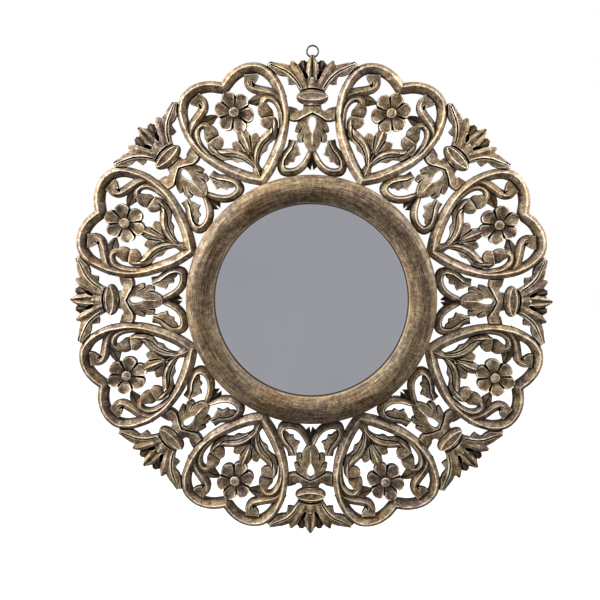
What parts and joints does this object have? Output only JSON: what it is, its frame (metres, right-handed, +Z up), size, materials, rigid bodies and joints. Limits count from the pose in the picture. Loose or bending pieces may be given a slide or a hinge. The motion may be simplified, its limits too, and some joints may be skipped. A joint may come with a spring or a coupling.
{
  "type": "wall mirror",
  "caption": "Round wall mirror in a turned half-round ring with a wide pierced surround of carved hearts and crown sprays, in antique gold, hung by a wire ring.",
  "frame": {"origin": "centre of the backing board's rear face, on the mirror's axis", "axes": "+Z up as hung, +Y backwards into the wall, the glass faces -Y, +X to the right seen from the front"},
  "size_m": [0.6124, 0.0293, 0.6251],
  "materials": {
    "carved_wood": "antique gold rubbed over dark brown, dark in the cuts and worn light on the ridges",
    "ring_wood": "antique bronze gold, mottled dark, with turning streaks",
    "silvered_glass": "clear float glass silvered behind",
    "cushion_paper": "brown kraft sheet",
    "hardboard": "tempered hardboard, dark brown",
    "screw_steel": "zinc plated",
    "hanger_steel": "dark steel"
  },
  "bodies": {
    "frame": {"ring_moulding": "ring_wood", "mirror_glass": "silvered_glass", "glass_cushion": "cushion_paper", "backing_board": "hardboard", "backing_screws": "screw_steel", "heart_medallion_1": "carved_wood", "heart_medallion_2": "carved_wood", "heart_medallion_3": "carved_wood", "heart_medallion_4": "carved_wood", "heart_medallion_5": "carved_wood", "heart_medallion_6": "carved_wood", "heart_medallion_7": "carved_wood", "heart_medallion_8": "carved_wood", "crown_spray_1": "carved_wood", "crown_spray_2": "carved_wood", "crown_spray_3": "carved_wood", "crown_spray_4": "carved_wood", "crown_spray_5": "carved_wood", "crown_spray_6": "carved_wood", "crown_spray_7": "carved_wood", "crown_spray_8": "carved_wood", "hanger_strap": "hanger_steel", "hanger_screws": "screw_steel"},
    "hanging_ring": {"hanger_ring": "hanger_steel"}
  },
  "joints": [
    {"name": "ring_swing", "type": "hinge", "parent": "frame", "child": "hanging_ring", "pos_m": [0, 0.00263, 0.3038], "axis": [-1, 0, 0], "range_deg": [-60, 170]}
  ]
}
